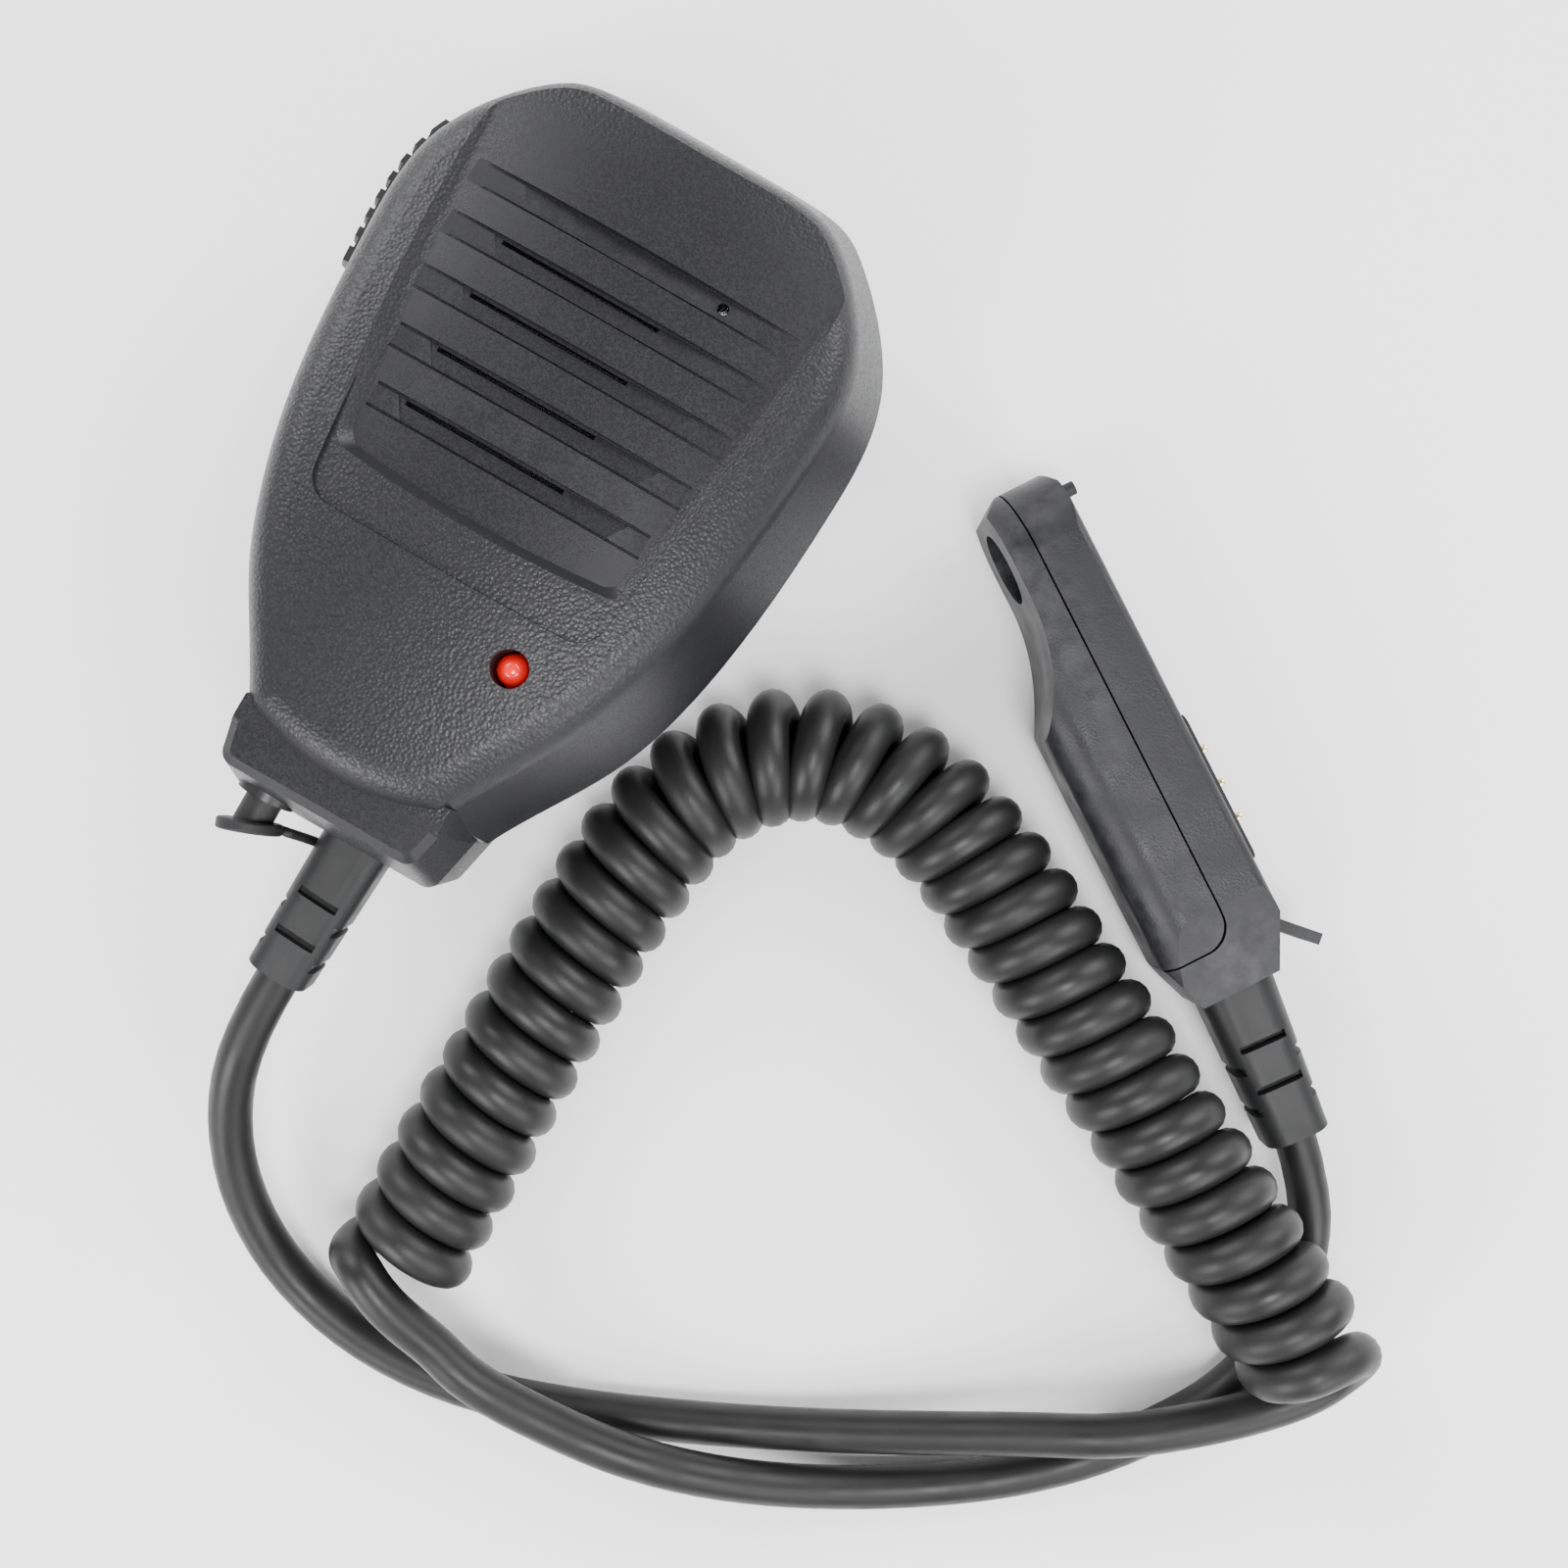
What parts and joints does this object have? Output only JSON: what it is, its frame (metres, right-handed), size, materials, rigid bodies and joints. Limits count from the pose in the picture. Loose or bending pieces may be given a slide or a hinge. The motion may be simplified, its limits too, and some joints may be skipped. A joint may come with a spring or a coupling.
{
  "type": "hand microphone",
  "caption": "Hand-held speaker microphone with a push-to-talk key, swivelling belt clip, coiled cord and bolt-on side plug.",
  "frame": {"origin": "underside of the belt clip's arm, on the axis that the clip swivels on", "axes": "+Y along the body towards its rounded end, away from the cord; +Z out of the speaker face; +X to the right of the speaker face"},
  "size_m": [0.151, 0.1331, 0.0388],
  "materials": {
    "shell_grained": "moulded grain",
    "seal_rubber": "matt",
    "dark_steel": "blackened",
    "cloth": "woven",
    "plated_steel": "plated",
    "paper": "pressed paper",
    "capsule_can": "satin",
    "red_lens": "clear red",
    "board_green": "solder mask",
    "key_rubber": "matt",
    "white_plastic": "satin",
    "switch_black": "satin",
    "soft_rubber": "matt",
    "relief_rubber": "satin",
    "lead_insulation": "smooth",
    "clip_plastic": "satin",
    "bright_steel": "bright",
    "spring_steel": "wire",
    "plug_plastic": "fine texture",
    "gold_contact": "gold flash",
    "cord_jacket": "satin"
  },
  "bodies": {
    "housing": {"front_shell": "shell_grained", "back_shell": "shell_grained", "shell_gasket": "seal_rubber", "housing_screws": "dark_steel", "grille_cloth": "cloth", "speaker_frame": "plated_steel", "speaker_magnet": "plated_steel", "speaker_surround": "seal_rubber", "mic_boot": "seal_rubber", "mic_capsule": "capsule_can", "led_lens": "red_lens", "circuit_board": "board_green", "ptt_switch": "switch_black", "earphone_jack": "switch_black", "jack_cover_strap": "soft_rubber", "mic_strain_relief": "relief_rubber", "cable_clamp": "white_plastic", "inner_leads": "lead_insulation", "clip_boss": "clip_plastic", "clip_screw": "bright_steel", "plug_base": "plug_plastic", "plug_cover": "plug_plastic", "contact_carrier": "switch_black", "plug_seal": "seal_rubber", "plug_strain_relief": "relief_rubber", "plug_leads": "lead_insulation", "cord_mic_end": "cord_jacket", "cord_coil": "cord_jacket", "cord_plug_end": "cord_jacket"},
    "ptt": {"ptt_key": "key_rubber", "ptt_plunger": "white_plastic"},
    "cone": {"speaker_cone": "paper"},
    "cover": {"jack_cover": "soft_rubber"},
    "swivel": {"clip_base": "clip_plastic", "clip_pin": "bright_steel", "clip_spring": "spring_steel"},
    "jaw": {"clip_arm": "clip_plastic"},
    "contacts": {"contact_pins": "gold_contact"}
  },
  "joints": [
    {"name": "ptt_press", "type": "slide", "parent": "housing", "child": "ptt", "axis": [1, 0, 0], "range_m": [0, 0.0012], "stiffness_N_per_m": 1500, "springref_m": -0.0008},
    {"name": "cone_travel", "type": "slide", "parent": "housing", "child": "cone", "axis": [0, 0, 1], "range_m": [-0.0003, 0.0003], "stiffness_N_per_m": 1200, "deforming": ["speaker_surround"]},
    {"name": "jack_cover_pull", "type": "slide", "parent": "housing", "child": "cover", "axis": [0, -1, 0], "range_m": [0, 0.012], "deforming": ["jack_cover_strap"]},
    {"name": "clip_swivel", "type": "hinge", "parent": "housing", "child": "swivel", "pos_m": [0, 0, 0], "axis": [0, 0, 1], "continuous": true},
    {"name": "clip_open", "type": "hinge", "parent": "swivel", "child": "jaw", "pos_m": [0, 0.008, 0.0039], "axis": [1, 0, 0], "range_deg": [0, 15], "stiffness_Nm_per_rad": 0.6, "springref_deg": -17.19, "deforming": ["clip_spring"]},
    {"name": "contact_press", "type": "slide", "parent": "housing", "child": "contacts", "axis": [-0.549, -0.8358, 0], "range_m": [0, 0.0008], "stiffness_N_per_m": 400, "springref_m": -0.0005}
  ]
}
